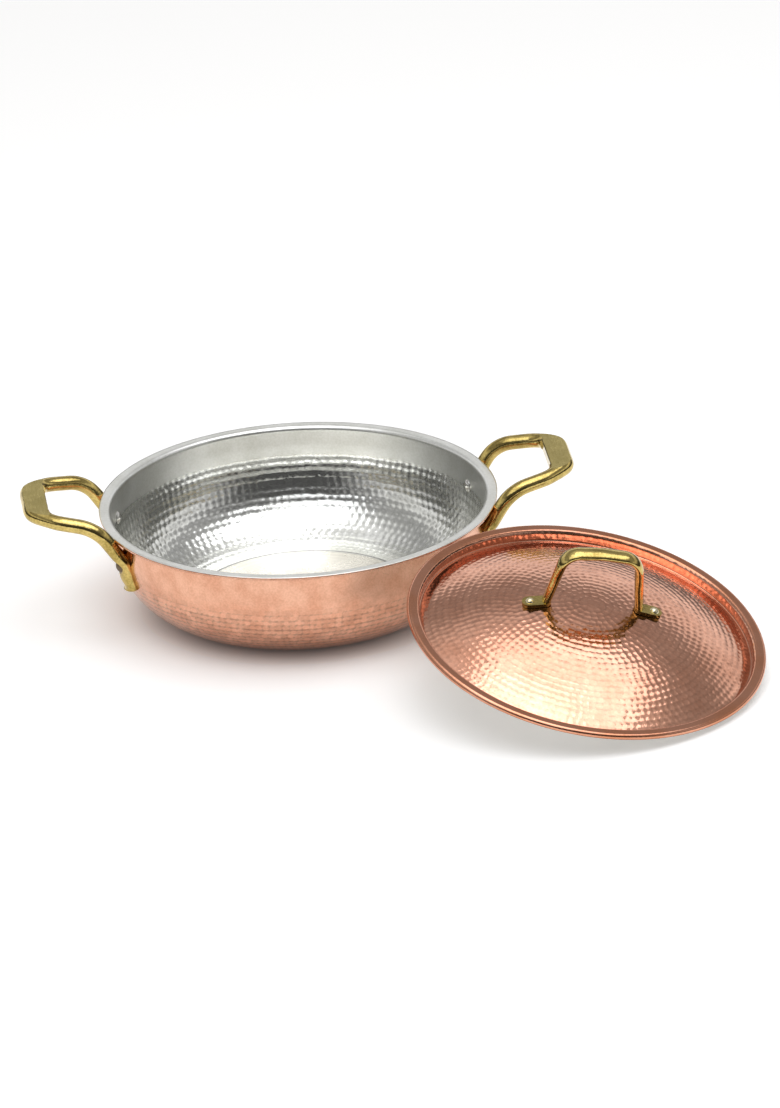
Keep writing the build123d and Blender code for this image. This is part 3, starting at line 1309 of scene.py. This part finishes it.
@dataclass(frozen=True)
class PhotoCamera:
    """The photograph's camera, fitted to the pan's rim, base and handles.

    Attributes:
        distance: From the pan's base, in metres.
        focal: Focal length in pixels.
        tall: Height of the picture in pixels.
        sensor: Width of the sensor in millimetres.
        reach: Nearest and furthest distance seen, in metres.
        bearing: Turn of the pan against the camera, in degrees.
        elevation: Height of the camera above the floor, in degrees.
        yaw: Turn of the view to the right of the pan, in degrees.
        pitch: Tilt of the view downwards, in degrees.
        roll: Turn of the picture, in degrees.
    """

    distance: float = 6.0
    focal: float = 8507.0
    tall: float = 1108.0
    sensor: float = 36.0
    reach: Span = (0.1, 50.0)
    bearing: float = 5.0
    elevation: float = 23.49
    yaw: float = 0.65
    pitch: float = 23.23
    roll: float = -3.04

    def make(self) -> bpy.types.Object:
        """Adds the camera to the scene.

        Returns:
            The camera.
        """
        data = bpy.data.cameras.new("Camera")
        data.sensor_width = self.sensor
        data.lens = self.focal / self.tall * self.sensor
        data.clip_start, data.clip_end = self.reach
        camera = bpy.data.objects.new("Camera", data)
        bpy.context.scene.collection.objects.link(camera)
        yaw, pitch, roll = (math.radians(angle) for angle in (self.yaw, self.pitch, self.roll))
        rise = math.radians(self.elevation)
        ahead = Vector((math.sin(yaw) * math.cos(pitch), math.cos(yaw) * math.cos(pitch), -math.sin(pitch)))
        level = Vector((math.cos(yaw), -math.sin(yaw), 0.0))
        above = level.cross(ahead)
        right = level * math.cos(roll) + above * math.sin(roll)
        up = above * math.cos(roll) - level * math.sin(roll)
        place = Matrix((right, up, -ahead)).transposed().to_4x4()
        place.translation = (0.0, -self.distance * math.cos(rise), self.distance * math.sin(rise))
        camera.matrix_world = Matrix.Rotation(-math.radians(self.bearing), 4, "Z") @ place
        bpy.context.scene.camera = camera
        log.info("camera at %s", tuple(round(value, 3) for value in camera.matrix_world.translation))
        return camera


@dataclass(frozen=True)
class Softbox:
    """A square lamp that points at the pan.

    Attributes:
        name: Its name.
        power: Its power in watts.
        place: Its middle.
        size: Length of its side.
        colour: Colour of its light.
    """

    name: str
    power: float
    place: tuple[float, float, float]
    size: float = 1.7
    colour: Colour = (0.97, 0.99, 1.04)

    def make(self) -> bpy.types.Object:
        """Adds the lamp to the scene.

        Returns:
            The lamp.
        """
        data = bpy.data.lights.new(self.name, "AREA")
        data.shape = "SQUARE"
        data.size = self.size
        data.energy = self.power
        data.color = self.colour
        lamp = bpy.data.objects.new(self.name, data)
        lamp.location = self.place
        lamp.rotation_euler = (-Vector(self.place)).to_track_quat("-Z", "Y").to_euler()
        bpy.context.scene.collection.objects.link(lamp)
        return lamp


@dataclass(frozen=True)
class Floor:
    """Pale floor, brighter where it is seen than in the light that it throws on the pan, with a shadow
    painted under the pan.

    Attributes:
        reach: Distance from its middle to its side.
        drop: Room between the pan and the floor.
        seen: Colour to the camera and in mirrors.
        lit: Colour in the light that it throws.
        painted_shadow: Colour of the shadow painted on the floor under the pan.
        shade_start: Distance from the pan's axis where the painted shadow starts to fade.
        shade_end: Distance where it has faded.
        glow: Light added where the floor is seen.
    """

    reach: float = 8.0
    drop: float = 0.2 * MM
    seen: Colour = (0.97, 0.96, 0.94)
    lit: Colour = (0.92, 0.91, 0.90)
    painted_shadow: Colour = (0.46, 0.39, 0.34)
    shade_start: float = 78 * MM
    shade_end: float = 135 * MM
    glow: float = 0.26

    def make(self) -> None:
        """Adds the floor to the scene."""
        form = bmesh.new()
        bmesh.ops.create_grid(form, x_segments=1, y_segments=1, size=self.reach)
        bmesh.ops.translate(form, verts=form.verts, vec=(0, 0, -self.drop))
        mesh = bpy.data.meshes.new("floor")
        form.to_mesh(mesh)
        form.free()
        mesh.materials.append(self.paper())
        ground = bpy.data.objects.new("floor", mesh)
        bpy.context.scene.collection.objects.link(ground)

    def paper(self) -> bpy.types.Material:
        """Makes the floor's material.

        Returns:
            The material.
        """
        material = bpy.data.materials.new("Floor")
        material.use_nodes = True
        material.node_tree.nodes.clear()
        nodes = Nodes(material.node_tree)
        path = nodes.add("ShaderNodeLightPath").outputs
        mirrored = nodes.math("MAXIMUM", path["Is Glossy Ray"], path["Is Transmission Ray"])
        seen = nodes.math("MAXIMUM", path["Is Camera Ray"], mirrored)
        away = nodes.add("ShaderNodeVectorMath", {0: nodes.place()}, operation="LENGTH").outputs["Value"]
        # Painted shadow: the floor is darkened towards the pan's base, and loses its glow there.
        clear = nodes.span(away, self.shade_start, self.shade_end)
        colour = nodes.mix(clear, self.painted_shadow, nodes.mix(seen, self.lit, self.seen))
        paper = nodes.add("ShaderNodeBsdfDiffuse", {"Color": colour})
        strength = nodes.math("MULTIPLY", nodes.math("MULTIPLY", seen, clear), self.glow)
        glow = nodes.add("ShaderNodeEmission", {"Strength": strength})
        both = nodes.add("ShaderNodeAddShader", {0: paper.outputs[0], 1: glow.outputs[0]})
        nodes.add("ShaderNodeOutputMaterial", {"Surface": both.outputs[0]})
        return material


@dataclass(frozen=True)
class Sky:
    """Sky in bands of grey that the metals mirror, and white where it is seen past them.

    It is darker behind the camera and at both sides.

    Attributes:
        horizon: Colour at the horizon.
        bands: Upward part of the direction and tone, for each band.
        dark: Colour of the dark parts.
        white: Colour to the camera and through glass.
        behind: Forward part of the direction over which the part behind the camera ends.
        behind_low: Upward part over which it ends.
        middle: Sideways part over which it gets thinner.
        middle_dark: How dark it is in the middle and at its sides.
        beside: Sideways part of the direction over which the dark sides begin.
        beside_dark: How dark they are.
        beside_low: Upward part over which they end.
    """

    horizon: Colour = (0.10, 0.10, 0.09)
    bands: tuple[Span, ...] = ((0.15, 0.22), (0.3, 1.0), (0.42, 0.9), (0.56, 0.32), (0.7, 0.36), (0.9, 0.8))
    dark: Colour = (0.02, 0.02, 0.02)
    white: Colour = (1.0, 1.0, 1.0)
    behind: Span = (-0.6, -0.1)
    behind_low: Span = (0.45, 0.8)
    middle: Span = (0.4, 0.9)
    middle_dark: Span = (0.94, 0.4)
    beside: Span = (0.5, 0.85)
    beside_dark: float = 0.75
    beside_low: Span = (0.2, 0.45)

    def make(self) -> None:
        """Adds the sky to the scene."""
        world = bpy.data.worlds.new("Studio")
        bpy.context.scene.world = world
        world.use_nodes = True
        world.node_tree.nodes.clear()
        nodes = Nodes(world.node_tree)
        direction = nodes.add("ShaderNodeTexCoord").outputs["Generated"]
        sideways, forward, upward = nodes.add("ShaderNodeSeparateXYZ", {0: direction}).outputs
        sideways = nodes.math("ABSOLUTE", sideways)
        ramp = nodes.add("ShaderNodeValToRGB", {0: upward})
        ramp.color_ramp.interpolation = "EASE"
        stops = ramp.color_ramp.elements
        stops.remove(stops[1])
        stops[0].position, stops[0].color = 0.0, (*self.horizon, 1.0)
        for place, tone in self.bands:
            stops.new(place).color = (tone, tone, tone, 1.0)
        behind = nodes.span(forward, *self.behind, 1.0, 0.0)
        behind = nodes.math("MULTIPLY", behind, nodes.span(upward, *self.behind_low, 1.0, 0.0))
        behind = nodes.math("MULTIPLY", behind, nodes.span(sideways, *self.middle, *self.middle_dark))
        beside = nodes.span(sideways, *self.beside, 0.0, self.beside_dark)
        beside = nodes.math("MULTIPLY", beside, nodes.span(upward, *self.beside_low, 1.0, 0.0))
        sky = nodes.mix(nodes.math("MAXIMUM", behind, beside), ramp.outputs[0], self.dark)
        path = nodes.add("ShaderNodeLightPath").outputs
        seen = nodes.math("MAXIMUM", path["Is Camera Ray"], path["Is Transmission Ray"])
        colour = nodes.mix(seen, sky, self.white)
        back = nodes.add("ShaderNodeBackground", {"Color": colour, "Strength": 1.0})
        nodes.add("ShaderNodeOutputWorld", {"Surface": back.outputs[0]})


@dataclass(frozen=True)
class Studio:
    """Pale floor, banded sky, a soft lamp overhead and a fill beside the camera.

    Attributes:
        floor: The floor.
        sky: The sky.
        lamps: The lamp and the fill.
    """

    floor: Floor = Floor()
    sky: Sky = Sky()
    lamps: tuple[Softbox, ...] = (
        Softbox("Lamp", 12.0, (0.5, -0.15, 2.0)),
        Softbox("Fill", 9.0, (-0.3, -0.7, 1.9)),
    )

    def make(self) -> None:
        """Adds the studio to the scene."""
        self.floor.make()
        self.sky.make()
        for lamp in self.lamps:
            lamp.make()
        bpy.context.scene.view_settings.view_transform = "Standard"
        log.info("studio made")


def main() -> None:
    """Builds the scene."""
    logging.basicConfig(level=logging.INFO, format="%(name)s: %(message)s")
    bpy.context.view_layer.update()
    PhotoCamera().make()
    shop = MetalShop()
    pan = PanShape()
    Pan(pan, shop).build()
    Lid(pan, LidShape(), LidPlace(), shop).build()
    Studio().make()


if __name__ == "__main__":
    main()
